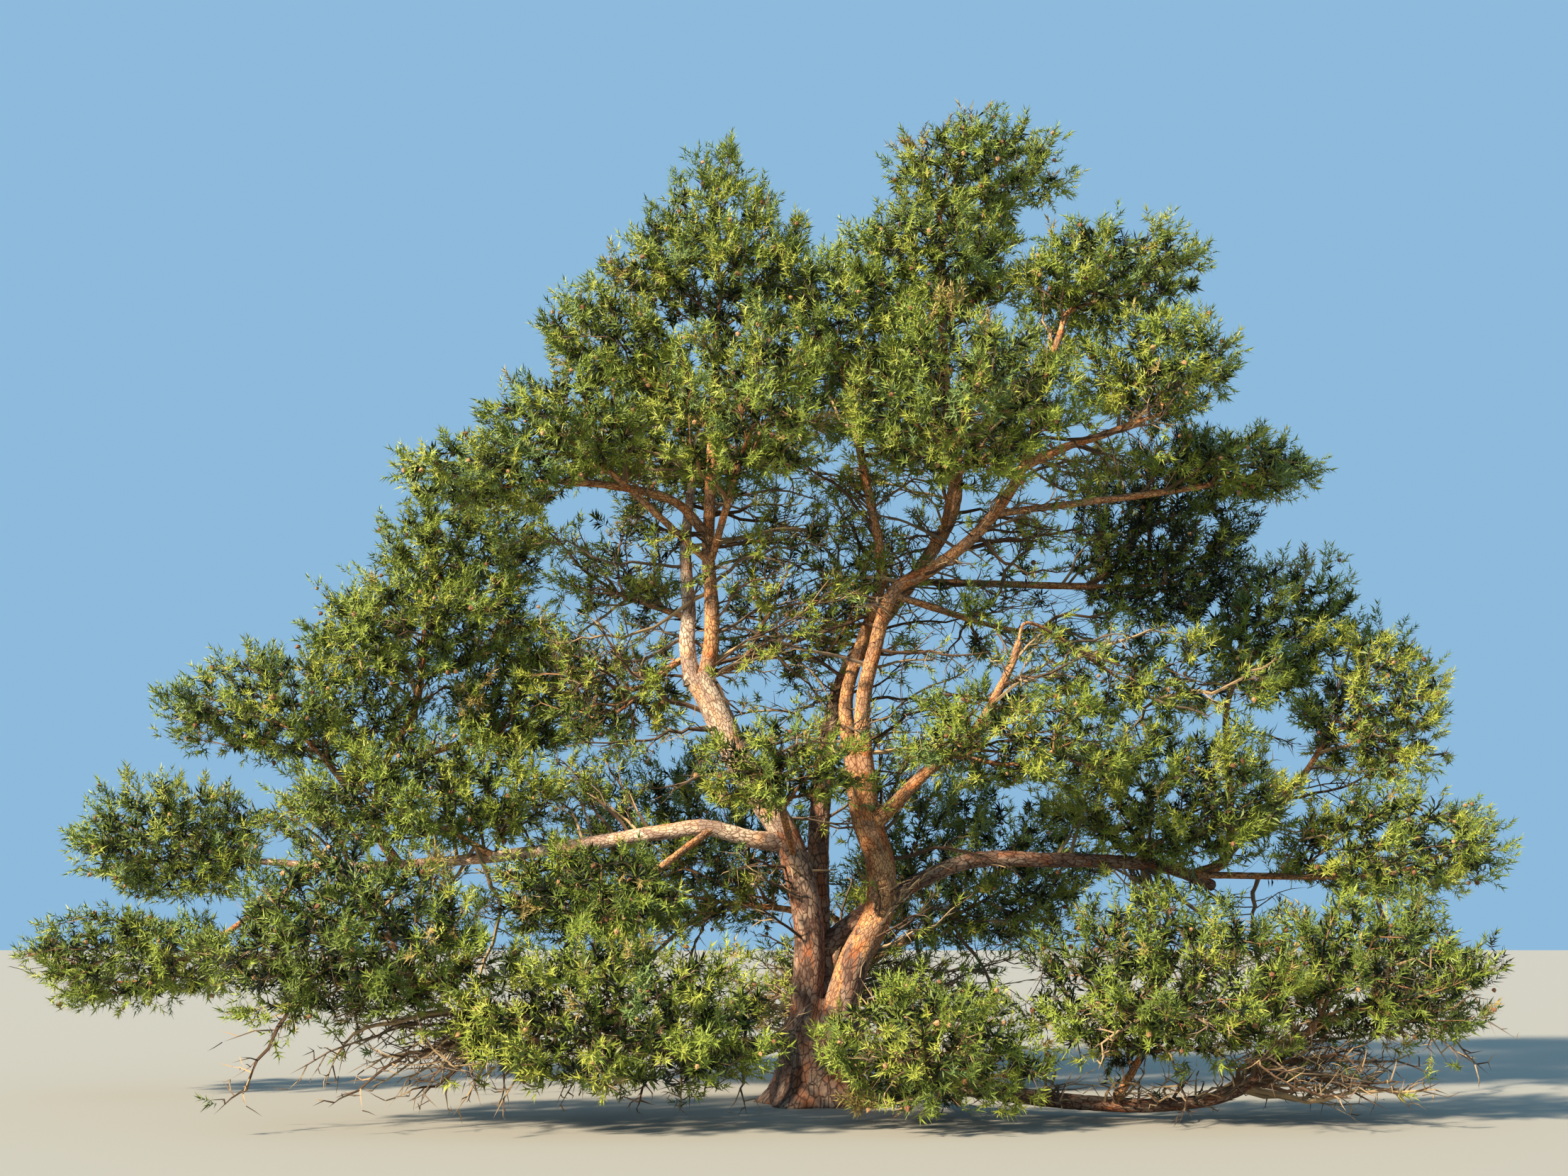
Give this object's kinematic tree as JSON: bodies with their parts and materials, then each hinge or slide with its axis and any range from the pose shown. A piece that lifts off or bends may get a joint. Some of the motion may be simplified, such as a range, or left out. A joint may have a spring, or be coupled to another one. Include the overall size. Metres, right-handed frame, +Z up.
{
  "type": "scots pine tree",
  "caption": "Broad multi-stemmed Scots pine: orange upper bark, long low limbs, side leaders and layered masses of needles.",
  "frame": {"origin": "centre of the trunk's flat cut at ground level", "axes": "+Z up, +Y away from the picture's viewer, +X to the viewer's right"},
  "size_m": [15.1063, 7.5827, 10.2588],
  "materials": {
    "bark_lower": "thick grey-brown plates",
    "bark_upper": "thin flaking orange bark",
    "foliage": "needles in sprays"
  },
  "bodies": {
    "root": {"trunk": "bark_lower", "stem_left": "bark_lower", "stem_left_fork": "bark_upper", "leader_left": "bark_upper", "stem_centre": "bark_upper", "stem_right": "bark_lower", "stem_right_fork": "bark_upper", "stem_right_leader": "bark_upper", "bough_left_high": "bark_upper", "bough_right_high": "bark_upper", "bough_right_low": "bark_upper", "limb_left_low": "bark_lower", "stem_left_outer": "bark_upper", "limb_right_low": "bark_lower", "stem_right_outer": "bark_upper", "fork_right_outer": "bark_upper", "limb_front_left": "bark_lower", "limb_front_right": "bark_lower", "limb_back": "bark_lower", "right_top": "foliage", "right_upper": "foliage", "right_shoulder": "foliage", "right_side": "foliage", "right_reach": "foliage", "right_dark": "foliage", "centre_upper": "foliage", "centre_crown": "foliage", "upper_back": "foliage", "left_top": "foliage", "left_shoulder": "foliage", "left_side": "foliage", "left_inner": "foliage", "left_reach": "foliage", "left_back": "foliage", "mid_left": "foliage", "mid_centre": "foliage", "mid_right": "foliage", "mid_right_far": "foliage", "low_left": "foliage", "low_right": "foliage", "front_stems": "foliage", "outer_left_top": "foliage", "outer_left_upper": "foliage", "outer_left_side": "foliage", "outer_left_inner": "foliage", "outer_left_mid": "foliage", "outer_left_far": "foliage", "outer_left_low": "foliage", "outer_right_top": "foliage", "outer_right_side": "foliage", "outer_right_mid": "foliage", "outer_right_far": "foliage", "skirt_left": "foliage", "skirt_left_inner": "foliage", "skirt_front": "foliage", "skirt_centre": "foliage", "skirt_right": "foliage", "skirt_right_far": "foliage", "low_back_left": "foliage", "low_back_right": "foliage"}
  },
  "joints": []
}
